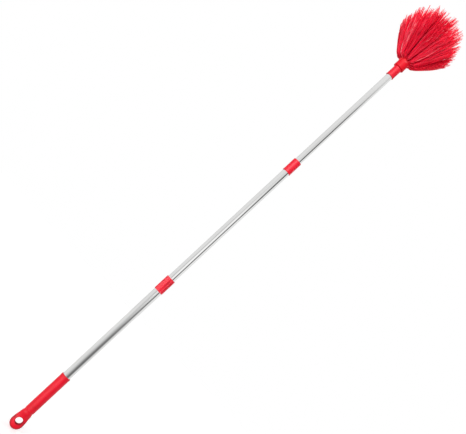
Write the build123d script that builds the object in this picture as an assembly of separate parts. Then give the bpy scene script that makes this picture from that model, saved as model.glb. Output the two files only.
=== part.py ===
from build123d import *
import math
import os

# Cobweb brush on a three-stage telescopic pole with twist locks.
# Millimetres. The pole runs along +Z, from the hand grip up to the brush.
# The origin is the centre of the hanging hole, whose axis is Y.

# Tubes: thin walled and drawn, each one sliding in the one below it
lower_tube_radius = 11.0
middle_tube_radius = 10.0
upper_tube_radius = 9.0
tube_wall = 0.5
lower_tube_length = 446.0
middle_tube_length = 436.0
upper_tube_length = 361.0
pull_out_left = 12.5

# Hand grip
grip_length = 173.0
hole_to_grip_end = 24.2
hanging_hole_radius = 9.3
hole_rim_round = 1.6
grip_end_radius = 17.2
grip_end_half_thickness = 8.0
neck_end_z = 33.0
neck_start_z = -6.0
neck_thickness_start_z = 8.0
grip_barrel_radius = 12.9
grip_mouth_radius = 12.75
grip_bead_radius = 13.15
grip_bead_length = 6.0
grip_mouth_chamfer = 0.8
tube_stop_above_neck = 2.0
end_section_count = 6
neck_section_count = 6
steepest_end_angle = 84.0

# Collars
collar_lip = 5.0
lower_collar_length = 43.4
lower_collar_radius = 12.35
lower_rib_height = 0.3
lower_rib_radius = 1.8
lower_rib_count = 10
upper_collar_length = 39.6
upper_collar_radius = 11.4
upper_bead_height = 0.3
upper_bead_length = 2.4
collar_round = 0.7

# Clearances
running_clearance = 0.07
press_clearance = 0.02
seat_gap = 0.3
stop_overlap_clearance = 0.2

# Twist locks, the same for both joints but for the tubes that they fit
plug_length = 26.0
plug_wall = 2.2
plug_floor = 6.0
flange_thickness = 3.0
stud_radius = 3.5
expander_length = 22.0
expander_floor = 3.0
expander_rim_wall = 2.0
expander_throat_wall = 4.2
expander_throat_depth = 8.0
slot_count = 4
slot_width = 2.4
slot_top_depth = 6.0
cone_length = 8.0
cone_floor_gap = 1.0
cone_release_travel = 1.5
key_side_clearance = 0.3
key_rim_clearance = 0.6
cap_radius = 7.0
cap_thickness = 3.0
cap_gap = 0.8

# Head adapter: sleeve on the upper tube and screw spigot above it
sleeve_wall = 1.85
sleeve_show = 31.0
sleeve_tube_depth = 24.0
sleeve_bead_height = 0.4
sleeve_bead_length = 1.6
spigot_radius = 9.9
spigot_length = 15.0
spigot_wall = 2.6
spigot_lead = 1.0

# Brush hub
hub_neck_radius = 14.4
hub_bead_height = 0.35
hub_bead_length = 2.2
hub_neck_length = 15.5
hub_length = 21.2
socket_floor_gap = 0.3
dome_radius = 15.5
dome_centre_rise = 2.0

# Bristles: rings of tufts from the side of the dome to its top
ring_tuft_counts = (14, 12, 8, 4)
ring_elevations = (10.0, 29.0, 49.0, 76.0)
strands_per_tuft = 11
tuft_root_radius = 1.9
strand_root_radius = 0.4
strand_bend_radius = 0.48
strand_body_radius = 0.8
strand_tip_radius = 0.75
root_depth = 1.5
shoulder_reach = 16.0
head_radius = 87.5
brim_rise = 68.0
crown_height = 105.0
tuft_fill_share = 0.84
shoulder_fill_share = 0.7
bend_start_share = 0.72
bend_end_share = 0.14
tip_unevenness_share = 0.07
golden_angle = 137.508
golden_share = 0.618034

# Tuft anchors: folded flat wires across the bottoms of the drilled holes
anchor_depth = 5.0
anchor_width = 3.4
anchor_height = 1.8
anchor_thickness = 0.5

# Heights along the pole, worked out from the sizes above
grip_end_z = -hole_to_grip_end
grip_mouth_z = grip_end_z + grip_length
lower_tube_bottom_z = neck_end_z + tube_stop_above_neck
lower_tube_top_z = lower_tube_bottom_z + lower_tube_length
middle_tube_bottom_z = lower_tube_top_z - pull_out_left
middle_tube_top_z = middle_tube_bottom_z + middle_tube_length
upper_tube_bottom_z = middle_tube_top_z - pull_out_left
upper_tube_top_z = upper_tube_bottom_z + upper_tube_length
sleeve_bottom_z = upper_tube_top_z - sleeve_tube_depth
hub_bottom_z = sleeve_bottom_z + sleeve_show
spigot_top_z = hub_bottom_z + spigot_length
bristle_base_z = hub_bottom_z + hub_length
dome_centre_z = bristle_base_z + dome_centre_rise

# Radii worked out from the sizes above
lower_bore = lower_tube_radius - tube_wall
middle_bore = middle_tube_radius - tube_wall
upper_bore = upper_tube_radius - tube_wall
sleeve_radius = upper_tube_radius + sleeve_wall

# The locks are shown tight, with the conical nut as high as it goes
cone_lift = cone_release_travel + cone_floor_gap

cut_overrun = 5.0


def turned(*outline):
    """Solid of revolution about the pole's axis, from (radius, height) corners."""
    corners = [(radius, 0, height) for radius, height in outline]
    return revolve(make_face(Polyline(*corners, close=True)), Axis.Z)


def ring_edges(solid, radius, height):
    """Circular edges of one radius at one height."""
    circles = solid.edges().filter_by(GeomType.CIRCLE)
    return [
        edge for edge in circles
        if math.isclose(edge.radius, radius, abs_tol=press_clearance / 2)
        and math.isclose(edge.arc_center.Z, height, abs_tol=press_clearance / 2)
    ]


def rounded_at(solid, radius, height, round_radius):
    """The solid with its circular edge at that radius and height rounded."""
    return fillet(ring_edges(solid, radius, height), round_radius)


def smooth_step(share):
    """Even ease from 0 to 1."""
    return share * share * (3 - 2 * share)


def eased(start, end, share):
    """Value between start and end, level at both."""
    share = min(max(share, 0), 1)
    return start + (end - start) * smooth_step(share)


def grip_section(height):
    """Half width and half thickness of the grip's end and neck at one height."""
    round_centre = grip_end_z + grip_end_radius
    edge_centre = grip_end_z + grip_end_half_thickness
    neck_share = (height - neck_start_z) / (neck_end_z - neck_start_z)
    thick_share = (height - neck_thickness_start_z) / (neck_end_z - neck_thickness_start_z)
    half_width = eased(grip_end_radius, grip_barrel_radius, neck_share)
    half_thickness = eased(grip_end_half_thickness, grip_barrel_radius, thick_share)
    if height < round_centre:
        half_width = math.sqrt(grip_end_radius**2 - (round_centre - height) ** 2)
    if height < edge_centre:
        half_thickness = math.sqrt(grip_end_half_thickness**2 - (edge_centre - height) ** 2)
    return half_width, half_thickness


def grip_heights():
    """Heights of the sections that shape the grip's rounded end and its neck."""
    round_centre = grip_end_z + grip_end_radius
    heights = []
    for index in range(end_section_count):
        angle = math.radians(steepest_end_angle) * (1 - index / (end_section_count - 1))
        heights.append(round_centre - grip_end_radius * math.sin(angle))
    for index in range(neck_section_count):
        share = index / (neck_section_count - 1)
        heights.append(neck_start_z + (neck_end_z - neck_start_z) * share)
    return heights


def hanging_hole_cutter():
    """Hole through the grip's end along Y, with rounded rims."""
    rim_radius = hanging_hole_radius + hole_rim_round
    straight = grip_end_half_thickness - hole_rim_round
    reach = grip_end_half_thickness + cut_overrun
    inset = hole_rim_round * math.cos(math.radians(45))
    front_rim = (rim_radius - inset, straight + inset)
    back_rim = (rim_radius - inset, -straight - inset)
    outline = Line((0, -reach), (rim_radius, -reach))
    outline += Line((rim_radius, -reach), (rim_radius, -grip_end_half_thickness))
    outline += ThreePointArc(
        (rim_radius, -grip_end_half_thickness), back_rim, (hanging_hole_radius, -straight)
    )
    outline += Line((hanging_hole_radius, -straight), (hanging_hole_radius, straight))
    outline += ThreePointArc(
        (hanging_hole_radius, straight), front_rim, (rim_radius, grip_end_half_thickness)
    )
    outline += Line((rim_radius, grip_end_half_thickness), (rim_radius, reach))
    outline += Line((rim_radius, reach), (0, reach))
    outline += Line((0, reach), (0, -reach))
    return revolve(make_face(outline), Axis.Y)


def make_grip_handle():
    """Moulded grip: flattened round end with the hanging hole, neck and barrel."""
    sections = []
    for height in grip_heights():
        half_width, half_thickness = grip_section(height)
        sections.append(Pos(0, 0, height) * Ellipse(half_width, half_thickness))
    end_and_neck = loft(sections)
    bead_bottom_z = grip_mouth_z - grip_bead_length
    barrel = turned(
        (0, neck_end_z),
        (grip_barrel_radius, neck_end_z),
        (grip_mouth_radius, bead_bottom_z),
        (grip_bead_radius, bead_bottom_z + grip_bead_radius - grip_mouth_radius),
        (grip_bead_radius, grip_mouth_z - grip_mouth_chamfer),
        (grip_bead_radius - grip_mouth_chamfer, grip_mouth_z),
        (0, grip_mouth_z),
    )
    tube_socket = turned(
        (0, lower_tube_bottom_z),
        (lower_tube_radius, lower_tube_bottom_z),
        (lower_tube_radius, grip_mouth_z + cut_overrun),
        (0, grip_mouth_z + cut_overrun),
    )
    return end_and_neck + barrel - tube_socket - hanging_hole_cutter()


def make_tube(radius, bottom_z, length):
    """Thin walled tube."""
    top_z = bottom_z + length
    return turned(
        (radius - tube_wall, bottom_z),
        (radius, bottom_z),
        (radius, top_z),
        (radius - tube_wall, top_z),
    )


def collar_bore(outer_tube_radius, inner_tube_radius, tube_top_z, bottom_z):
    """Stepped bore of a collar: the outer tube's seat, then the lip round the inner tube."""
    lip_radius = inner_tube_radius + running_clearance
    lip_top_z = tube_top_z + collar_lip + cut_overrun
    return turned(
        (0, bottom_z - cut_overrun),
        (outer_tube_radius, bottom_z - cut_overrun),
        (outer_tube_radius, tube_top_z),
        (lip_radius, tube_top_z),
        (lip_radius, lip_top_z),
        (0, lip_top_z),
    )


def rounded_sleeve(radius, bottom_z, top_z):
    """Solid round sleeve with both rims rounded."""
    sleeve = turned((0, bottom_z), (radius, bottom_z), (radius, top_z), (0, top_z))
    sleeve = rounded_at(sleeve, radius, bottom_z, collar_round)
    return rounded_at(sleeve, radius, top_z, collar_round)


def make_lower_collar():
    """Collar with rounded grip ribs along it."""
    top_z = lower_tube_top_z + collar_lip
    bottom_z = top_z - lower_collar_length
    crest_radius = lower_collar_radius + lower_rib_height
    ribbed = turned(
        (0, bottom_z),
        (lower_collar_radius, bottom_z),
        (lower_collar_radius, top_z),
        (0, top_z),
    )
    rib = Pos(crest_radius - lower_rib_radius, 0, (bottom_z + top_z) / 2)
    rib *= Cylinder(lower_rib_radius, lower_collar_length)
    for index in range(lower_rib_count):
        ribbed += Rot(0, 0, 360 * index / lower_rib_count) * rib
    collar = ribbed & rounded_sleeve(crest_radius, bottom_z, top_z)
    bore = collar_bore(lower_tube_radius, middle_tube_radius, lower_tube_top_z, bottom_z)
    return collar - bore


def make_upper_collar():
    """Smooth collar with a bead round its lower rim."""
    top_z = middle_tube_top_z + collar_lip
    bottom_z = top_z - upper_collar_length
    bead_radius = upper_collar_radius + upper_bead_height
    sleeve = rounded_sleeve(upper_collar_radius, bottom_z, top_z)
    bead = turned(
        (0, bottom_z),
        (bead_radius, bottom_z),
        (bead_radius, bottom_z + upper_bead_length - upper_bead_height),
        (upper_collar_radius, bottom_z + upper_bead_length),
        (0, bottom_z + upper_bead_length),
    )
    bore = collar_bore(middle_tube_radius, upper_tube_radius, middle_tube_top_z, bottom_z)
    return sleeve + bead - bore


def expander_top_z(tube_bottom_z):
    """Height of a lock expander's top, under the core's flange."""
    return tube_bottom_z - flange_thickness - seat_gap


def stud_bottom_z(tube_bottom_z):
    """Height of a lock stud's lower end, flush with its cap."""
    return expander_top_z(tube_bottom_z) - expander_length - cap_gap - cap_thickness


def expander_bore(outer_bore, depth):
    """Radius of the expander's inner taper at a depth below its top."""
    throat = outer_bore - running_clearance - expander_throat_wall
    mouth = outer_bore - running_clearance - expander_rim_wall
    share = (depth - expander_throat_depth) / (expander_length - expander_throat_depth)
    return throat + (mouth - throat) * max(share, 0)


def make_lock_core(tube_bottom_z, tube_bore, outer_bore):
    """Plug pressed in the inner tube, with the stop flange and the stud below it."""
    plug_radius = tube_bore - press_clearance
    flange_radius = outer_bore - stop_overlap_clearance
    plug_top_z = tube_bottom_z + plug_length
    core_floor_z = tube_bottom_z + plug_floor
    return turned(
        (0, stud_bottom_z(tube_bottom_z)),
        (stud_radius, stud_bottom_z(tube_bottom_z)),
        (stud_radius, tube_bottom_z - flange_thickness),
        (flange_radius, tube_bottom_z - flange_thickness),
        (flange_radius, tube_bottom_z),
        (plug_radius, tube_bottom_z),
        (plug_radius, plug_top_z),
        (plug_radius - plug_wall, plug_top_z),
        (plug_radius - plug_wall, core_floor_z),
        (0, core_floor_z),
    )


def slot_cutters(width, reach, bottom_z, top_z):
    """Bars across the pole's axis, one to a slot, from the axis outwards."""
    bar = Pos(reach / 2, 0, (bottom_z + top_z) / 2) * Box(reach, width, top_z - bottom_z)
    return [Rot(0, 0, 360 * index / slot_count) * bar for index in range(slot_count)]


def make_lock_expander(tube_bottom_z, outer_bore):
    """Slotted sleeve with a taper inside, which opens against the outer tube's bore."""
    top_z = expander_top_z(tube_bottom_z)
    bottom_z = top_z - expander_length
    outer_radius = outer_bore - running_clearance
    throat = expander_bore(outer_bore, expander_throat_depth)
    mouth = expander_bore(outer_bore, expander_length)
    hole = stud_radius + running_clearance
    sleeve = turned(
        (hole, top_z),
        (outer_radius, top_z),
        (outer_radius, bottom_z),
        (mouth, bottom_z),
        (throat, top_z - expander_throat_depth),
        (throat, top_z - expander_floor),
        (hole, top_z - expander_floor),
    )
    reach = outer_radius + cut_overrun
    return sleeve - slot_cutters(slot_width, reach, bottom_z - cut_overrun, top_z - slot_top_depth)


def make_lock_cone(tube_bottom_z, outer_bore):
    """Conical nut on the stud, with a key in each slot of the expander."""
    expander_bottom_z = expander_top_z(tube_bottom_z) - expander_length
    bottom_z = expander_bottom_z + cone_lift
    top_z = bottom_z + cone_length
    bottom_radius = expander_bore(outer_bore, expander_length - cone_lift) - seat_gap
    top_radius = expander_bore(outer_bore, expander_length - cone_lift - cone_length) - seat_gap
    key_radius = outer_bore - running_clearance - key_rim_clearance
    body = turned((0, bottom_z), (bottom_radius, bottom_z), (top_radius, top_z), (0, top_z))
    key_height = cone_length / 2
    keys = slot_cutters(
        slot_width - 2 * key_side_clearance, key_radius, bottom_z, bottom_z + key_height
    )
    bore = turned(
        (0, bottom_z - cut_overrun),
        (stud_radius + running_clearance, bottom_z - cut_overrun),
        (stud_radius + running_clearance, top_z + cut_overrun),
        (0, top_z + cut_overrun),
    )
    return body + keys - bore


def make_lock_cap(tube_bottom_z):
    """Cap pressed on the stud's end, which keeps the conical nut on it."""
    bottom_z = stud_bottom_z(tube_bottom_z)
    top_z = bottom_z + cap_thickness
    return turned(
        (stud_radius, bottom_z),
        (cap_radius, bottom_z),
        (cap_radius, top_z),
        (stud_radius, top_z),
    )


def make_head_adapter():
    """Sleeve pressed on the upper tube, with the screw spigot for the brush above it."""
    bead_radius = sleeve_radius + sleeve_bead_height
    core_radius = spigot_radius - spigot_wall
    return turned(
        (upper_tube_radius, sleeve_bottom_z),
        (bead_radius, sleeve_bottom_z),
        (bead_radius, sleeve_bottom_z + sleeve_bead_length - sleeve_bead_height),
        (sleeve_radius, sleeve_bottom_z + sleeve_bead_length),
        (sleeve_radius, hub_bottom_z - seat_gap),
        (spigot_radius, hub_bottom_z - seat_gap),
        (spigot_radius, spigot_top_z - spigot_lead),
        (spigot_radius - spigot_lead, spigot_top_z),
        (core_radius, spigot_top_z),
        (core_radius, upper_tube_top_z + spigot_wall),
        (0, upper_tube_top_z + spigot_wall),
        (0, upper_tube_top_z),
        (upper_tube_radius, upper_tube_top_z),
    )


def make_brush_hub():
    """Round hub: beaded rim, neck with the screw socket, and the dome's lower edge."""
    bead_radius = hub_neck_radius + hub_bead_height
    socket_radius = spigot_radius + running_clearance
    socket_floor_z = spigot_top_z + socket_floor_gap
    dome_edge_radius = math.sqrt(dome_radius**2 - dome_centre_rise**2)
    return turned(
        (socket_radius, hub_bottom_z),
        (bead_radius, hub_bottom_z),
        (bead_radius, hub_bottom_z + hub_bead_length - hub_bead_height),
        (hub_neck_radius, hub_bottom_z + hub_bead_length),
        (hub_neck_radius, hub_bottom_z + hub_neck_length),
        (dome_edge_radius, bristle_base_z),
        (0, bristle_base_z),
        (0, socket_floor_z),
        (socket_radius, socket_floor_z),
    )


def root_span():
    """Half the angle that a tuft's root takes up on the dome, in degrees."""
    return math.degrees(tuft_root_radius / dome_radius)


def slice_level(ring):
    """Height between one ring's highest roots and the next ring's lowest."""
    highest = math.radians(ring_elevations[ring] + root_span())
    lowest = math.radians(ring_elevations[ring + 1] - root_span())
    highest_z = dome_radius * math.sin(highest)
    lowest_z = (dome_radius - root_depth) * math.sin(lowest)
    return dome_centre_z + (highest_z + lowest_z) / 2


def dome_slices():
    """The dome cut level into one slice for each ring of tufts."""
    dome = Pos(0, 0, dome_centre_z) * Sphere(dome_radius)
    levels = [slice_level(ring) for ring in range(len(ring_elevations) - 1)]
    bottoms = [bristle_base_z] + levels
    tops = levels + [dome_centre_z + dome_radius + cut_overrun]
    slices = []
    for bottom_z, top_z in zip(bottoms, tops):
        slab = Pos(0, 0, (bottom_z + top_z) / 2)
        slab *= Cylinder(dome_radius + cut_overrun, top_z - bottom_z)
        slices.append(dome & slab)
    return slices


def tip_angle_limits(ring):
    """Lowest and highest angle on the tip envelope for one ring, by its share of the tufts."""
    total = sum(ring_tuft_counts)
    below = sum(ring_tuft_counts[:ring]) / total
    up_to = sum(ring_tuft_counts[: ring + 1]) / total
    return math.degrees(math.asin(below)), math.degrees(math.asin(up_to))


def tuft_azimuth(ring, tuft):
    """Azimuth of a tuft, with every other ring turned by half a step."""
    step = 360 / ring_tuft_counts[ring]
    return step * (tuft + ring / 2)


def between(start, end, share):
    """Value at a share of the way from start to end."""
    return start + (end - start) * share


def strand_stations(ring, tuft, strand):
    """Points that one strand passes through, root to tip, for a tuft at azimuth zero."""
    reach_share = math.sqrt((strand + 1 / 2) / strands_per_tuft)
    turn = math.radians(golden_angle * (strand + tuft))
    across = reach_share * math.cos(turn)
    upward = reach_share * math.sin(turn)
    unevenness = (golden_share * (strand * strands_per_tuft + tuft)) % 1

    # In the upright plane through the tuft
    elevation = math.radians(ring_elevations[ring] + upward * root_span())
    outwards = Vector(math.cos(elevation), 0, math.sin(elevation))
    centre = Vector(0, 0, dome_centre_z)
    root = centre + outwards * (dome_radius - root_depth)
    reach = shoulder_reach * math.cos(math.radians(ring_elevations[ring]))
    shoulder = centre + outwards * (dome_radius + reach)
    low_angle, high_angle = tip_angle_limits(ring)
    middle_angle = (low_angle + high_angle) / 2
    half_range = tuft_fill_share * (high_angle - low_angle) / 2
    tip_angle = math.radians(middle_angle + upward * half_range)
    envelope = Vector(
        head_radius * math.cos(tip_angle),
        0,
        bristle_base_z + brim_rise + crown_height * math.sin(tip_angle),
    )
    tip = between(shoulder, envelope, 1 - tip_unevenness_share * unevenness)
    bend_start = between(root, shoulder, bend_start_share)
    bend_end = between(shoulder, tip, bend_end_share)

    # Sideways out of that plane
    half_step = math.radians(180 / ring_tuft_counts[ring])
    middle_radius = head_radius * math.cos(math.radians(middle_angle))
    shoulder_radius = (dome_radius + reach) * math.cos(math.radians(ring_elevations[ring]))
    root_offset = across * tuft_root_radius
    shoulder_offset = across * shoulder_fill_share * shoulder_radius * math.sin(half_step)
    tip_offset = across * tuft_fill_share * middle_radius * math.sin(half_step)
    return [
        root + Vector(0, root_offset, 0),
        bend_start + Vector(0, between(root_offset, shoulder_offset, bend_start_share), 0),
        bend_end + Vector(0, between(shoulder_offset, tip_offset, bend_end_share), 0),
        tip + Vector(0, tip_offset, 0),
    ]


def make_strand(stations):
    """Three-sided strand lofted straight through its stations."""
    radii = [strand_root_radius, strand_bend_radius, strand_body_radius, strand_tip_radius]
    rims = []
    for index, (station, radius) in enumerate(zip(stations, radii)):
        before = stations[max(index - 1, 0)]
        after = stations[min(index + 1, len(stations) - 1)]
        along = (after - before).normalized()
        sideways = Vector(0, 1, 0)
        upward = along.cross(sideways).normalized()
        corners = []
        for corner in range(3):
            turn = 2 * math.pi * corner / 3
            offset = sideways * (radius * math.cos(turn)) + upward * (radius * math.sin(turn))
            corners.append(station + offset)
        rims.append(Wire.make_polygon(corners, close=True))
    return Solid.make_loft(rims, ruled=True)


def make_bristle_ring(ring, dome_slice):
    """One ring of tufts, fused to the slice of the dome that holds their roots."""
    strands = []
    for tuft in range(ring_tuft_counts[ring]):
        turn = Rot(0, 0, tuft_azimuth(ring, tuft))
        for strand in range(strands_per_tuft):
            strands.append(turn * make_strand(strand_stations(ring, tuft, strand)))
    return dome_slice + strands


def make_tuft_anchors():
    """Flat wires that hold the tufts, one across the bottom of each drilled hole."""
    anchors = []
    for ring, elevation in enumerate(ring_elevations):
        anchor = Rot(0, -elevation, 0) * Pos(dome_radius - anchor_depth, 0, 0)
        anchor *= Box(anchor_height, anchor_width, anchor_thickness)
        for tuft in range(ring_tuft_counts[ring]):
            turned_anchor = Rot(0, 0, tuft_azimuth(ring, tuft)) * anchor
            anchors.append(Pos(0, 0, dome_centre_z) * turned_anchor)
    return Compound(children=anchors)


def make_parts():
    """Every piece, by the name of its node."""
    parts = {
        "grip_handle": make_grip_handle(),
        "lower_tube": make_tube(lower_tube_radius, lower_tube_bottom_z, lower_tube_length),
        "middle_tube": make_tube(middle_tube_radius, middle_tube_bottom_z, middle_tube_length),
        "upper_tube": make_tube(upper_tube_radius, upper_tube_bottom_z, upper_tube_length),
        "lower_collar": make_lower_collar(),
        "upper_collar": make_upper_collar(),
        "head_adapter": make_head_adapter(),
        "brush_hub": make_brush_hub(),
        "tuft_anchors": make_tuft_anchors(),
    }
    locks = {
        "lower": (middle_tube_bottom_z, middle_bore, lower_bore),
        "upper": (upper_tube_bottom_z, upper_bore, middle_bore),
    }
    for side, (tube_bottom_z, tube_bore, outer_bore) in locks.items():
        parts[f"{side}_lock_core"] = make_lock_core(tube_bottom_z, tube_bore, outer_bore)
        parts[f"{side}_lock_expander"] = make_lock_expander(tube_bottom_z, outer_bore)
        parts[f"{side}_lock_cone"] = make_lock_cone(tube_bottom_z, outer_bore)
        parts[f"{side}_lock_cap"] = make_lock_cap(tube_bottom_z)
    for ring, dome_slice in enumerate(dome_slices()):
        parts[f"bristle_ring_{ring + 1}"] = make_bristle_ring(ring, dome_slice)
    return parts


os.makedirs("parts", exist_ok=True)
for name, solid in make_parts().items():
    export_step(solid, f"parts/{name}.step")
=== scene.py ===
import math
import random

import bpy
from mathutils import Matrix, Vector


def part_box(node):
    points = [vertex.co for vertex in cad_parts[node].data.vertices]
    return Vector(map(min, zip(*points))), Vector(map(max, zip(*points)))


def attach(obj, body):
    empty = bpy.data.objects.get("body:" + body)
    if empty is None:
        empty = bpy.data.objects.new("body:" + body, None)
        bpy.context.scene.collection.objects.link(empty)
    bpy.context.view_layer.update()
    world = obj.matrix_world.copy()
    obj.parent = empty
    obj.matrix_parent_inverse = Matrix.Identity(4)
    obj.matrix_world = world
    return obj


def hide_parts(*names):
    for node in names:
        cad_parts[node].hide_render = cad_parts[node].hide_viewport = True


# Cobweb brush on a three-stage pole with twist locks.
# Metres. The pole runs along +Z from the hanging hole, which is at the origin.

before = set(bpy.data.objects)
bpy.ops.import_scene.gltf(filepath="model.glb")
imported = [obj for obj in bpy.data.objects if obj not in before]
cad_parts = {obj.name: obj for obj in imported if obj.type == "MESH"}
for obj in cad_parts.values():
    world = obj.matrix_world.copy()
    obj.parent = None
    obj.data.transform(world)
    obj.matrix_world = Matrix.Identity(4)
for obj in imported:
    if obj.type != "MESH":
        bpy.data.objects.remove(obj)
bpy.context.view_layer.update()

# Places read from the frame
bristle_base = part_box("brush_hub")[1].z
grip_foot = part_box("grip_handle")[0].z
side_row_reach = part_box("bristle_ring_1")[1]
crown_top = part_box("bristle_ring_4")[1].z

# The photograph: its size, and the two pixels where the pole's axis
# crosses the hanging hole and the top of the hub
photo_width = 466
photo_height = 434
hole_pixel = Vector((19.05, 420.05))
hub_pixel = Vector((404.26, 62.72))
camera_azimuth = math.radians(-11)
camera_tilt = math.radians(6)
lens_mm = 63
sensor_width_mm = 36
sight_length = 100

# Grip end
hole_radius = 0.0093
hole_rim_round = 0.0016
grip_end_radius = 0.0172
# Painted shade: the hole's wall and a band round the grip's rounded end below it are mixed towards a
# deeper red
rim_shade_width = 4 * hole_rim_round
rim_shade_share = 0.9
painted_shade_red = (0.42, 0.0, 0.010, 1)
hole_wall_dullness = 0.5

# Moulded plastic
peel_depth = 0.00003
scuff_dullness = 0.12
collar_ribs = 10
rib_depth = 0.0002
# Painted shade in the grooves between the collar's ribs, and a painted highlight on their crests
rib_painted_shade = 0.15

# Tuft dome on the hub
dome_radius = 0.0155
dome_centre = Vector((0, 0, bristle_base + 0.002))
tufts_in_row = (14, 12, 8, 4)
row_elevations = (10, 29, 49, 76)
row_names = ("side", "lower_middle", "upper_middle", "crown")
tuft_hole_radius = 0.0019
tuft_root_depth = 0.0015
hole_bottom_share = 0.9
countersink_share = 1.35
drill_lift_share = 0.2
sliver_width = 0.00001

# Outline of the head, and how much of their room the tufts fill
filament_radius = 0.00036
shoulder_reach = 0.016
brim_rise = 0.068
brim_radius = min(side_row_reach.x, side_row_reach.y) + 2 * filament_radius
crown_rise = crown_top - bristle_base - brim_rise - filament_radius
outline_fullness = 0.82
shoulder_fill_share = 0.74
body_fill_share = 0.94
tip_fill_share = 0.88

# Filaments: their locks, their uneven ends and their strays
filaments_in_tuft = 165
locks_in_tuft = 13
lock_spread_share = 0.8
lock_pull_share = 0.75
lock_unevenness_share = 0.25
lock_unevenness_power = 1.5
filament_unevenness_share = 0.15
filament_unevenness_power = 2
stray_share = 0.04
stray_looseness = 0.35
lock_looseness = 0.05
bend_places = (0.35, 0.70)
first_bend_sway_share = 0.4
sway_size = 0.0008
thickness_limits = (0.85, 1.1)
tip_thickness_share = 0.6
tuft_shade_share = 0.2
lock_shade_share = 0.5
filament_shade_share = 0.3
golden_angle = math.radians(137.508)

# The crown leans a little to the pole's left, and the brim hardly at all
head_lean = Vector((-0.004, 0.0008, 0))
lean_power = 3

# Walls that the tubes mirror, as places round the pole and their greys.
# 0.5 is towards the camera, and the numbers grow towards the pole's right.
wall_behind = 0.4
left_wall = (0.15, 0.9)
right_wall = (0.85, 1)
low_walls = ((0.35, 0.9), (0.43, 0.72), (0.56, 0.22), (0.65, 0.18), (0.73, 0.85))
middle_walls = (
    (0.38, 0.9),
    (0.43, 0.55),
    (0.49, 1.1),
    (0.57, 1.25),
    (0.635, 0.12),
    (0.67, 0.12),
    (0.71, 1.0),
)
upper_walls = ((0.4, 0.95), (0.47, 0.8), (0.56, 0.9), (0.64, 0.08), (0.69, 0.1), (0.73, 1.0))
high_walls = ((0.5, 0.95), (0.6, 0.85), (0.68, 0.8), (0.78, 1.0))

# Heights, as sines of the angle above level, over which one set of walls becomes the next
middle_to_low = (0.0, -0.095)
middle_to_upper = (0.10, 0.17)
upper_to_high = (0.28, 0.34)

# Soft light from all round. Reflections show the walls in its place.
soft_everywhere = 0.08
soft_from_front = 0.08
soft_from_front_and_back = 0.56
soft_from_above_and_below = 0.3

# Floor
floor_size = 12
floor_colour = (0.9, 0.9, 0.9, 1)
floor_glow = 0.5

random.seed(11)


def deselect():
    """Nothing selected, so that an operator acts only on the new piece."""
    if bpy.context.object and bpy.context.object.mode == "EDIT":
        bpy.ops.object.mode_set(mode="OBJECT")
    bpy.ops.object.select_all(action="DESELECT")


def named(name):
    """The active object, under its own name and with its place in its mesh."""
    piece = bpy.context.object
    piece.name = name
    piece.data.name = name
    bpy.ops.object.transform_apply(location=True, rotation=True, scale=True)
    return piece


def only(piece):
    """Makes one piece the selected and active one."""
    deselect()
    piece.select_set(True)
    bpy.context.view_layer.objects.active = piece


class Value:
    """A number that varies over a surface. Sums on it add Math nodes."""

    def __init__(self, nodes, socket):
        self.nodes = nodes
        self.socket = socket

    def maths(self, operation, *values):
        node = self.nodes.add("ShaderNodeMath", dict(enumerate(values)), operation=operation)
        return Value(self.nodes, node.outputs[0])

    def __add__(self, other):
        return self.maths("ADD", self, other)

    __radd__ = __add__

    def __sub__(self, other):
        return self.maths("SUBTRACT", self, other)

    def __rsub__(self, other):
        return self.maths("SUBTRACT", other, self)

    def __mul__(self, other):
        return self.maths("MULTIPLY", self, other)

    __rmul__ = __mul__

    def __truediv__(self, other):
        return self.maths("DIVIDE", self, other)

    def cosine(self):
        return self.maths("COSINE", self)

    def root(self):
        return self.maths("SQRT", self)

    def most(self, other):
        return self.maths("MAXIMUM", self, other)

    def angle(self, other):
        return self.maths("ARCTAN2", self, other)


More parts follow.
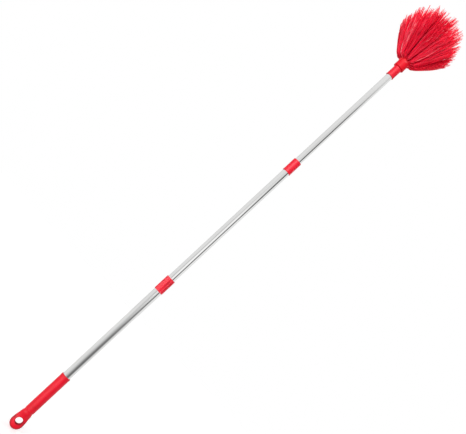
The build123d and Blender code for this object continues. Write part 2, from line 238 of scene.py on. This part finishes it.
class Nodes:
    """The nodes of a material or of the world, added one at a time."""

    same_stop = 0.0001

    def __init__(self, owner):
        owner.use_nodes = True
        self.tree = owner.node_tree
        self.tree.nodes.clear()

    def add(self, kind, inputs=None, stops=None, **settings):
        """One node: its settings first, then a value or a link for each socket."""
        node = self.tree.nodes.new(kind)
        for name, value in settings.items():
            setattr(node, name, value)
        for place, shade in stops or []:
            ramp = node.color_ramp.elements
            near = [stop for stop in ramp if abs(stop.position - place) < self.same_stop]
            stop = near[0] if near else ramp.new(place)
            stop.color = (*shade, 1)
        for name, value in (inputs or {}).items():
            if isinstance(value, Value):
                self.tree.links.new(value.socket, node.inputs[name])
            elif isinstance(value, bpy.types.NodeSocket):
                self.tree.links.new(value, node.inputs[name])
            else:
                node.inputs[name].default_value = value
        return node

    def place(self, stretch=(1, 1, 1)):
        """Object coordinates, stretched."""
        coordinates = self.add("ShaderNodeTexCoord").outputs["Object"]
        return self.add("ShaderNodeMapping", {"Vector": coordinates, "Scale": stretch}).outputs[0]

    def coordinates(self):
        """Object coordinates, one by one."""
        parts = self.add("ShaderNodeSeparateXYZ", {0: self.place()}).outputs
        return [Value(self, part) for part in parts]

    def noise(self, scale, detail=2, stretch=(1, 1, 1)):
        inputs = {"Vector": self.place(stretch), "Scale": scale, "Detail": detail}
        return Value(self, self.add("ShaderNodeTexNoise", inputs).outputs[0])

    def attribute(self, name):
        return Value(self, self.add("ShaderNodeAttribute", attribute_name=name).outputs["Fac"])

    def shades(self, value, *stops):
        """A colour ramp: the value picks the colour."""
        return self.add("ShaderNodeValToRGB", {"Fac": value}, stops=stops).outputs[0]

    def mixed(self, share, first, second):
        """A colour between two others."""
        colours = {0: share, 6: first, 7: second}
        return self.add("ShaderNodeMix", colours, data_type="RGBA").outputs[2]

    def eased(self, value, start, end):
        """From 0 at the start to 1 at the end, with soft ends."""
        inputs = {"Value": value, "From Min": start, "From Max": end}
        node = self.add("ShaderNodeMapRange", inputs, interpolation_type="SMOOTHSTEP")
        return Value(self, node.outputs[0])

    def bump(self, height, distance, strength=1):
        inputs = {"Height": height, "Distance": distance, "Strength": strength}
        return self.add("ShaderNodeBump", inputs).outputs[0]

    def rays(self, *kinds):
        """1 for rays of any of these kinds, and 0 for the others."""
        path = self.add("ShaderNodeLightPath")
        seen = Value(self, path.outputs[kinds[0]])
        for kind in kinds[1:]:
            seen = seen.most(Value(self, path.outputs[kind]))
        return seen

    def surface(self, **inputs):
        """The finish: a Principled shader with these inputs."""
        named_inputs = {name.replace("_", " "): value for name, value in inputs.items()}
        shader = self.add("ShaderNodeBsdfPrincipled", named_inputs)
        self.add("ShaderNodeOutputMaterial", {"Surface": shader.outputs[0]})


def painted_hole_and_rim_shade(nodes, x, z):
    """Masks for painted shade: the wall of the hanging hole, and the band round the grip's rounded end
    below it.
    """
    from_hole = (x * x + z * z).root()
    wall = nodes.eased(from_hole, hole_radius + hole_rim_round, hole_radius)
    below_middle = z - (grip_foot + grip_end_radius)
    from_middle = (x * x + below_middle * below_middle).root()
    rim_shade = nodes.eased(from_middle, grip_end_radius - rim_shade_width, grip_end_radius)
    return wall, rim_shade_share * rim_shade * nodes.eased(z, hole_radius, 0)


def moulded_plastic(name, deep, plain, roughness, gloss, ribs=0, hanging_hole=False):
    """Injection moulded plastic: faint flow clouds in its colour and a fine orange peel.

    Grooves between ribs, the wall of the hanging hole and the grip's rounded end are deeper red:
    painted shade. Rib crests are paler: a painted highlight.
    """
    material = bpy.data.materials.new(name)
    nodes = Nodes(material)
    clouds = nodes.noise(scale=28, detail=3)
    relief = peel_depth * nodes.noise(scale=900)
    scuffs = nodes.noise(scale=140, detail=4, stretch=(1, 1, 0.25))
    x, y, z = nodes.coordinates()
    if ribs:
        crests = (ribs * y.angle(x)).cosine()
        # Colour: crests painted paler and grooves deeper, as painted highlight and painted shade
        clouds = clouds + rib_painted_shade * crests
        relief = relief + rib_depth * crests
    colour = nodes.shades(clouds, (0.3, deep), (0.7, plain))
    dullness = roughness + scuff_dullness * scuffs
    if hanging_hole:
        # Painted shade: the hole's wall and the band round the rounded end turn deeper red
        wall, rim_shade = painted_hole_and_rim_shade(nodes, x, z)
        colour = nodes.mixed(wall.most(rim_shade), colour, painted_shade_red)
        dullness = dullness + hole_wall_dullness * wall
    nodes.surface(
        Base_Color=colour,
        Roughness=dullness,
        Specular_IOR_Level=gloss,
        Normal=nodes.bump(relief, distance=1),
    )
    return material


def drawn_steel():
    """Polished tube: hair lines left by the drawing die, and faint handling smears."""
    material = bpy.data.materials.new("drawn steel")
    nodes = Nodes(material)
    lines = nodes.noise(scale=1500, stretch=(1, 1, 0.004))
    smears = nodes.noise(scale=22, detail=3, stretch=(1, 1, 0.3))
    greys = ((0.3, (0.76, 0.76, 0.755)), (0.7, (0.82, 0.82, 0.815)))
    polish = 0.05
    line_dullness = 0.07
    smear_dullness = 0.05
    nodes.surface(
        Base_Color=nodes.shades(smears, *greys),
        Metallic=1,
        Roughness=polish + line_dullness * lines + smear_dullness * smears,
        Normal=nodes.bump(lines, distance=0.00001, strength=0.25),
    )
    return material


def bristle_plastic():
    """Extruded bristle: each one has its own shade, with painted shade towards its root and a painted
    highlight pink on the palest.
    """
    material = bpy.data.materials.new("bristle plastic")
    nodes = Nodes(material)
    shade = nodes.attribute("shade")
    along = nodes.attribute("along")
    own_share = 0.62
    root_shade_share = 0.38
    root_shade_length = 0.65
    dullness = 0.40
    pale_dullness = 0.15
    # The deepest red is painted shade at the roots, and the palest pink a painted highlight
    reds_shade_to_highlight = (
        (0.1, (0.40, 0.0, 0.004)),
        (0.35, (0.78, 0.0, 0.020)),
        (0.6, (0.98, 0.006, 0.042)),
        (0.9, (1.0, 0.09, 0.145)),
    )
    # Own shade, plus painted shade that deepens towards the root
    tone_and_root_shade = own_share * shade + root_shade_share * nodes.eased(along, 0, root_shade_length)
    nodes.surface(
        Base_Color=nodes.shades(tone_and_root_shade, *reds_shade_to_highlight),
        Roughness=dullness + pale_dullness * shade,
        Specular_IOR_Level=0.1,
    )
    return material


def anchor_steel():
    """Flat wire with the marks of the rolls."""
    material = bpy.data.materials.new("anchor wire")
    nodes = Nodes(material)
    marks = nodes.noise(scale=3000, stretch=(1, 1, 0.1))
    greys = ((0.3, (0.45, 0.45, 0.44)), (0.7, (0.62, 0.62, 0.60)))
    polish = 0.25
    mark_dullness = 0.2
    nodes.surface(
        Base_Color=nodes.shades(marks, *greys),
        Metallic=1,
        Roughness=polish + mark_dullness * marks,
    )
    return material


def lock_nylon(name, deep, plain):
    """Glass-filled nylon of the twist locks: speckled, with faint rings round it."""
    material = bpy.data.materials.new(name)
    nodes = Nodes(material)
    speckle = nodes.noise(scale=2600)
    rings = nodes.noise(scale=700, detail=1, stretch=(0.02, 0.02, 1))
    dullness = 0.42
    speckle_dullness = 0.16
    nodes.surface(
        Base_Color=nodes.shades(speckle, (0.35, deep), (0.65, plain)),
        Roughness=dullness + speckle_dullness * speckle,
        Normal=nodes.bump(rings, distance=0.00005, strength=0.5),
    )
    return material


def dress_cad_nodes():
    """Gives every CAD node that stays its own finish. Returns the hub's, for the dome on it."""
    grip_red = moulded_plastic(
        "soft gloss grip red",
        deep=(0.76, 0.0, 0.014),
        plain=(0.86, 0.0, 0.022),
        roughness=0.36,
        gloss=0.37,
        hanging_hole=True,
    )
    collar_red = moulded_plastic(
        "collar red",
        deep=(0.84, 0.006, 0.026),
        plain=(0.93, 0.014, 0.042),
        roughness=0.36,
        gloss=0.33,
    )
    ribbed_red = moulded_plastic(
        "ribbed collar red",
        deep=(0.80, 0.004, 0.022),
        plain=(0.96, 0.020, 0.050),
        roughness=0.34,
        gloss=0.4,
        ribs=collar_ribs,
    )
    hub_red = moulded_plastic(
        "matt hub red",
        deep=(0.77, 0.001, 0.012),
        plain=(0.86, 0.003, 0.018),
        roughness=0.44,
        gloss=0.25,
    )
    steel = drawn_steel()
    dark_nylon = lock_nylon("dark nylon", deep=(0.02, 0.02, 0.022), plain=(0.05, 0.05, 0.054))
    white_nylon = lock_nylon("natural nylon", deep=(0.62, 0.61, 0.56), plain=(0.78, 0.77, 0.72))
    finishes = {
        "grip_handle": grip_red,
        "lower_tube": steel,
        "middle_tube": steel,
        "upper_tube": steel,
        "lower_collar": ribbed_red,
        "upper_collar": collar_red,
        "head_adapter": collar_red,
        "brush_hub": hub_red,
        "tuft_anchors": anchor_steel(),
    }
    for stage in ("lower", "upper"):
        finishes[f"{stage}_lock_core"] = dark_nylon
        finishes[f"{stage}_lock_cap"] = dark_nylon
        finishes[f"{stage}_lock_expander"] = white_nylon
        finishes[f"{stage}_lock_cone"] = dark_nylon
    for name, material in finishes.items():
        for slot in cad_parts[name].material_slots:
            slot.material = material
    return hub_red


def tuft_turn(row, tuft):
    """How far round the pole a tuft stands. Each row starts half a step on from the one below."""
    return 2 * math.pi / tufts_in_row[row] * (tuft + row / 2)


def outwards(elevation):
    """The direction that leaves the dome at an elevation, at azimuth zero."""
    return Vector((math.cos(elevation), 0, math.sin(elevation)))


def spiral_place(step, steps, turn):
    """Even places over a disc of radius one, on a sunflower's spiral."""
    reach = math.sqrt((step + 0.5) / steps)
    angle = golden_angle * step + turn
    return Vector((reach * math.cos(angle), reach * math.sin(angle)))


def tip_angle_limits(row):
    """Where a row's tips start and end on the head's outline, as angles up from its brim."""
    below = sum(tufts_in_row[:row])
    total = sum(tufts_in_row)
    return math.asin(below / total), math.asin((below + tufts_in_row[row]) / total)


def head_outline(angle):
    """A point of the head's outline, at azimuth zero. It is a little fuller than an ellipse."""
    across = math.cos(angle) ** outline_fullness
    upward = math.sin(angle) ** outline_fullness
    return Vector((brim_radius * across, 0, bristle_base + brim_rise + crown_rise * upward))


def tip_point(row, place, fill_share):
    """Where the head's outline is reached from a place in the tuft at azimuth zero."""
    low, high = tip_angle_limits(row)
    tip = head_outline(max((low + high) / 2 + place.y * fill_share * (high - low) / 2, 0))
    half_step = math.pi / tufts_in_row[row]
    return tip + Vector((0, place.x * fill_share * tip.x * math.sin(half_step), 0))


def filament_line(row, root_place, tip_place, shortfall, sway):
    """Control points of one filament of the tuft at azimuth zero, from its hole to its tip."""
    elevation = math.radians(row_elevations[row])
    half_step = math.pi / tufts_in_row[row]
    root_elevation = elevation + root_place.y * tuft_hole_radius / dome_radius
    direction = outwards(root_elevation)
    sideways = Vector((0, 1, 0))
    root = dome_centre + direction * (dome_radius - tuft_root_depth)
    root += sideways * root_place.x * tuft_hole_radius
    reach = dome_radius + shoulder_reach * math.cos(elevation)
    shoulder = dome_centre + direction * reach
    shoulder_radius = reach * math.cos(elevation)
    shoulder += sideways * root_place.x * shoulder_fill_share * shoulder_radius * math.sin(half_step)
    loose_tip = tip_point(row, root_place, body_fill_share)
    length = 1 - shortfall
    first_bend, second_bend = bend_places
    return [
        root,
        root.lerp(shoulder, 0.5),
        shoulder,
        shoulder.lerp(loose_tip, first_bend * length) + sway * first_bend_sway_share,
        shoulder.lerp(loose_tip, second_bend * length) + sway,
        shoulder.lerp(tip_point(row, tip_place, tip_fill_share), length),
    ]


def draw_filament(curve, line, turn, thickness):
    """Adds a filament to the curve, turned to its tuft, leaning with the head, with a thin tip."""
    spline = curve.splines.new("NURBS")
    spline.points.add(len(line) - 1)
    for point, position in zip(spline.points, line):
        rise = max(position.z - bristle_base, 0) / (brim_rise + crown_rise)
        point.co = (*(turn @ position + head_lean * rise**lean_power), 1)
        point.radius = thickness
    spline.points[-1].radius = tip_thickness_share * thickness
    spline.order_u = 3
    spline.use_endpoint_u = True


def draw_tuft(curve, row, tuft):
    """Adds a tuft to the curve, and returns the shades of its filaments.

    The filaments draw together in locks and end unevenly, and a few stray.
    """
    turn = Matrix.Rotation(tuft_turn(row, tuft), 4, "Z")
    locks = [
        spiral_place(lock, locks_in_tuft, tuft) * lock_spread_share for lock in range(locks_in_tuft)
    ]
    lock_shortfalls = [
        lock_unevenness_share * random.random() ** lock_unevenness_power for _ in locks
    ]
    lock_shades = [random.random() for _ in locks]
    tuft_shade = random.random()
    shades = []
    for filament in range(filaments_in_tuft):
        place = spiral_place(filament, filaments_in_tuft, tuft)
        lock = min(range(locks_in_tuft), key=lambda number: (locks[number] - place).length)
        looseness = stray_looseness if random.random() < stray_share else lock_looseness
        scatter = Vector((random.gauss(0, looseness), random.gauss(0, looseness)))
        tip_place = place.lerp(locks[lock], lock_pull_share) + scatter
        if tip_place.length > 1:
            tip_place.normalize()
        unevenness = filament_unevenness_share * random.random() ** filament_unevenness_power
        shortfall = lock_shortfalls[lock] + unevenness
        sway = Vector([random.gauss(0, sway_size) for _ in range(3)])
        line = filament_line(row, place, tip_place, shortfall, sway)
        draw_filament(curve, line, turn, thickness=random.uniform(*thickness_limits))
        shades.append(
            tuft_shade_share * tuft_shade
            + lock_shade_share * lock_shades[lock]
            + filament_shade_share * random.random()
        )
    return shades


def make_bristle_row(row, material):
    """One row of tufts, in place of a ring of strands."""
    deselect()
    curve = bpy.data.curves.new(f"{row_names[row]}_tufts", "CURVE")
    curve.dimensions = "3D"
    curve.bevel_depth = filament_radius
    curve.bevel_resolution = 0
    curve.use_fill_caps = True
    curve.resolution_u = 2
    shades = []
    for tuft in range(tufts_in_row[row]):
        shades += draw_tuft(curve, row, tuft)
    drawn = bpy.data.objects.new(curve.name, curve)
    bpy.context.scene.collection.objects.link(drawn)
    only(drawn)
    bpy.ops.object.convert(target="MESH")
    piece = bpy.context.object
    mark_filaments(piece.data, shades)
    bpy.ops.object.shade_smooth()
    piece.data.materials.clear()
    piece.data.materials.append(material)
    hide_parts(f"bristle_ring_{row + 1}")
    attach(piece, "brush_head")
    return piece


def mark_filaments(mesh, shades):
    """Writes each filament's shade, and how far along it a point is, on the mesh."""
    points_each = len(mesh.vertices) // len(shades)
    shade = mesh.attributes.new("shade", "FLOAT", "POINT")
    along = mesh.attributes.new("along", "FLOAT", "POINT")
    shade.data.foreach_set("value", [value for value in shades for _ in range(points_each)])
    one_filament = [point / (points_each - 1) for point in range(points_each)]
    along.data.foreach_set("value", one_filament * len(shades))


def make_drill():
    """One tapered plug for each tuft's hole, all joined, for cutting the holes in the dome."""
    plugs = []
    for row, count in enumerate(tufts_in_row):
        for tuft in range(count):
            direction = outwards(math.radians(row_elevations[row]))
            direction.rotate(Matrix.Rotation(tuft_turn(row, tuft), 3, "Z"))
            deselect()
            bpy.ops.mesh.primitive_cone_add(
                vertices=20,
                radius1=tuft_hole_radius * hole_bottom_share,
                radius2=tuft_hole_radius * countersink_share,
                depth=2 * tuft_root_depth,
                location=dome_centre + direction * (dome_radius - tuft_root_depth * drill_lift_share),
                rotation=direction.to_track_quat("Z", "Y").to_euler(),
            )
            plugs.append(named(f"drill_{len(plugs)}"))
    for plug in plugs:
        plug.select_set(True)
    bpy.ops.object.join()
    return bpy.context.object


def make_tuft_dome(material):
    """The dome on top of the hub, drilled with a countersunk hole for each tuft."""
    deselect()
    bpy.ops.mesh.primitive_uv_sphere_add(
        segments=96, ring_count=48, radius=dome_radius, location=dome_centre
    )
    dome = named("tuft_dome")
    bpy.ops.object.mode_set(mode="EDIT")
    bpy.ops.mesh.select_all(action="SELECT")
    bpy.ops.mesh.bisect(
        plane_co=(0, 0, bristle_base), plane_no=(0, 0, 1), clear_inner=True, use_fill=True
    )
    bpy.ops.object.mode_set(mode="OBJECT")
    drill = make_drill()
    only(dome)
    cut = dome.modifiers.new("holes", "BOOLEAN")
    cut.operation = "DIFFERENCE"
    cut.object = drill
    cut.use_self = True
    bpy.ops.object.modifier_apply(modifier=cut.name)
    bpy.data.objects.remove(drill)
    bpy.ops.object.mode_set(mode="EDIT")
    bpy.ops.mesh.select_all(action="SELECT")
    bpy.ops.mesh.remove_doubles(threshold=sliver_width)
    bpy.ops.object.mode_set(mode="OBJECT")
    bpy.ops.object.shade_smooth_by_angle(angle=math.radians(40))
    dome.data.materials.clear()
    dome.data.materials.append(material)
    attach(dome, "brush_head")


def make_floor():
    """Pale floor under the grip's end. It shows white, and keeps the shadow."""
    deselect()
    bpy.ops.mesh.primitive_plane_add(size=floor_size, location=(0, 0, grip_foot))
    floor = named("floor")
    material = bpy.data.materials.new("pale floor")
    nodes = Nodes(material)
    seen = nodes.rays("Is Camera Ray", "Is Glossy Ray", "Is Transmission Ray")
    plain = nodes.add("ShaderNodeBsdfDiffuse", {"Color": floor_colour})
    glow = nodes.add("ShaderNodeEmission", {"Strength": floor_glow * seen})
    both = nodes.add("ShaderNodeAddShader", {0: plain.outputs[0], 1: glow.outputs[0]})
    nodes.add("ShaderNodeOutputMaterial", {"Surface": both.outputs[0]})
    floor.data.materials.append(material)
    floor.visible_glossy = False


def view_directions():
    """Level directions of the photograph's view: into the picture, and to the pole's right."""
    forward = Vector((-math.sin(camera_azimuth), math.cos(camera_azimuth), 0))
    right = Vector((math.cos(camera_azimuth), math.sin(camera_azimuth), 0))
    return forward, right


def make_camera():
    """Camera below the pole's middle, looking up it a little, and rolled as the pole leans."""
    level, right = view_directions()
    pole_up = Vector((0, 0, 1))
    forward = math.cos(camera_tilt) * level + math.sin(camera_tilt) * pole_up
    upward = math.cos(camera_tilt) * pole_up - math.sin(camera_tilt) * level
    along = (hub_pixel - hole_pixel).normalized()
    across = Vector((-along.y, along.x))
    lean = math.atan2(-along.y, along.x)
    middle_pixel = Vector((photo_width / 2, photo_height / 2))
    focal_pixels = lens_mm / sensor_width_mm * photo_width

    def reach(pixel):
        """How far up the pole a pixel is from the picture's middle, for a camera one metre away."""
        offset = (pixel - middle_pixel).dot(along)
        return offset / (focal_pixels * math.cos(camera_tilt) - offset * math.sin(camera_tilt))

    distance = bristle_base / (reach(hub_pixel) - reach(hole_pixel))
    beside = (middle_pixel - hole_pixel).dot(across) * distance / focal_pixels
    middle = -reach(hole_pixel) * distance * pole_up + right * beside
    data = bpy.data.cameras.new("camera")
    data.sensor_width = sensor_width_mm
    data.lens = lens_mm
    data.clip_end = sight_length
    camera = bpy.data.objects.new("camera", data)
    picture_right = math.cos(lean) * upward + math.sin(lean) * right
    picture_up = math.sin(lean) * upward - math.cos(lean) * right
    turned = Matrix((picture_right, picture_up, -forward)).transposed()
    camera.matrix_world = Matrix.Translation(middle - forward * distance) @ turned.to_4x4()
    bpy.context.scene.collection.objects.link(camera)
    bpy.context.scene.camera = camera


def make_lamp(name, from_pole, strength, softness, lit_pieces, lights="diffuse and glossy"):
    """A soft lamp far off in one direction from the pole. It lights the given pieces alone.

    The softness is how wide the lamp looks from the pole, in degrees.
    """
    lamp = bpy.data.lights.new(name, "SUN")
    lamp.energy = strength
    lamp.angle = math.radians(softness)
    light = bpy.data.objects.new(name, lamp)
    light.rotation_mode = "QUATERNION"
    light.rotation_quaternion = from_pole.to_track_quat("Z", "Y")
    light.visible_diffuse = "diffuse" in lights
    light.visible_glossy = "glossy" in lights
    bpy.context.scene.collection.objects.link(light)
    lit = bpy.data.collections.new(f"lit by the {name}")
    for piece in lit_pieces:
        lit.objects.link(piece)
    light.light_linking.receiver_collection = lit


def make_lamps(bristle_pieces):
    """Lamps on all pieces but the bright tubes, which show the walls alone, and on the bristles.

    The key is in front and to the pole's left, the strip gives the plastic its highlight,
    and the two back lamps light the far side. The fills reach in between the bristles.
    """
    back, right = view_directions()
    front = -back
    left = -right
    up = Vector((0, 0, 1))
    plain_pieces = [
        piece
        for piece in bpy.context.scene.objects
        if piece.type == "MESH" and not piece.name.endswith("_tube")
    ]
    left_back = back + 0.84 * left + 0.2 * up
    right_back = back + 0.84 * right + 0.2 * up

    # Name, direction, strength, softness and what is lit
    make_lamp("key", front + 0.3 * left + 0.2 * up, 1.9, 30, plain_pieces)
    make_lamp("strip", front + left, 1.0, 30, plain_pieces, lights="glossy")
    make_lamp("left back", left_back, 1.2, 40, plain_pieces, lights="diffuse")
    make_lamp("right back", right_back, 1.2, 40, plain_pieces, lights="diffuse")
    make_lamp("fill", front - 0.4 * up, 2.8, 50, bristle_pieces)
    make_lamp("side fill", right + 0.4 * back, 1.8, 50, bristle_pieces)
    make_lamp("back fill", back + 0.4 * left + 0.8 * up, 1.8, 50, bristle_pieces)
    make_lamp("top fill", up, 1.6, 60, bristle_pieces)


def grey_walls(nodes, turn, front_walls):
    """Grey walls round the pole: pale at its sides, darker behind it, and as given in front."""
    walls = [(0, wall_behind), left_wall, *front_walls, right_wall, (1, wall_behind)]
    return nodes.shades(turn, *[(place, (grey, grey, grey)) for place, grey in walls])


def make_studio():
    """White background, soft light from the front, the back and above, and walls for the tubes."""
    forward, right = view_directions()
    world = bpy.data.worlds.new("studio")
    bpy.context.scene.world = world
    nodes = Nodes(world)
    direction = nodes.add("ShaderNodeTexCoord").outputs["Generated"]

    def part_along(way):
        """How much of a ray's direction is along a way."""
        inputs = {0: direction, 1: way}
        node = nodes.add("ShaderNodeVectorMath", inputs, operation="DOT_PRODUCT")
        return Value(nodes, node.outputs["Value"])

    towards = part_along(-forward)
    height = part_along((0, 0, 1))
    turn = 0.5 + part_along(right).angle(towards) / (2 * math.pi)
    walls = grey_walls(nodes, turn, middle_walls)
    for front_walls, heights in (
        (low_walls, middle_to_low),
        (upper_walls, middle_to_upper),
        (high_walls, upper_to_high),
    ):
        walls = nodes.mixed(nodes.eased(height, *heights), walls, grey_walls(nodes, turn, front_walls))
    soft = soft_everywhere + soft_from_front * towards
    soft = soft + soft_from_front_and_back * towards * towards
    soft = soft + soft_from_above_and_below * height * height
    soft_light = nodes.shades(soft, (0, (0, 0, 0)), (1, (1, 1, 1)))
    reflected = nodes.mixed(nodes.rays("Is Glossy Ray"), soft_light, walls)
    seen = nodes.rays("Is Camera Ray", "Is Transmission Ray")
    backdrop = nodes.mixed(seen, reflected, (1, 1, 1, 1))
    light = nodes.add("ShaderNodeBackground", {"Color": backdrop, "Strength": 1})
    nodes.add("ShaderNodeOutputWorld", {"Surface": light.outputs[0]})


hub_red = dress_cad_nodes()
bristle_red = bristle_plastic()
rows = [make_bristle_row(row, bristle_red) for row in range(len(tufts_in_row))]
make_tuft_dome(hub_red)
make_floor()
make_camera()
make_lamps(rows)
make_studio()
bpy.context.scene.view_settings.view_transform = "Standard"
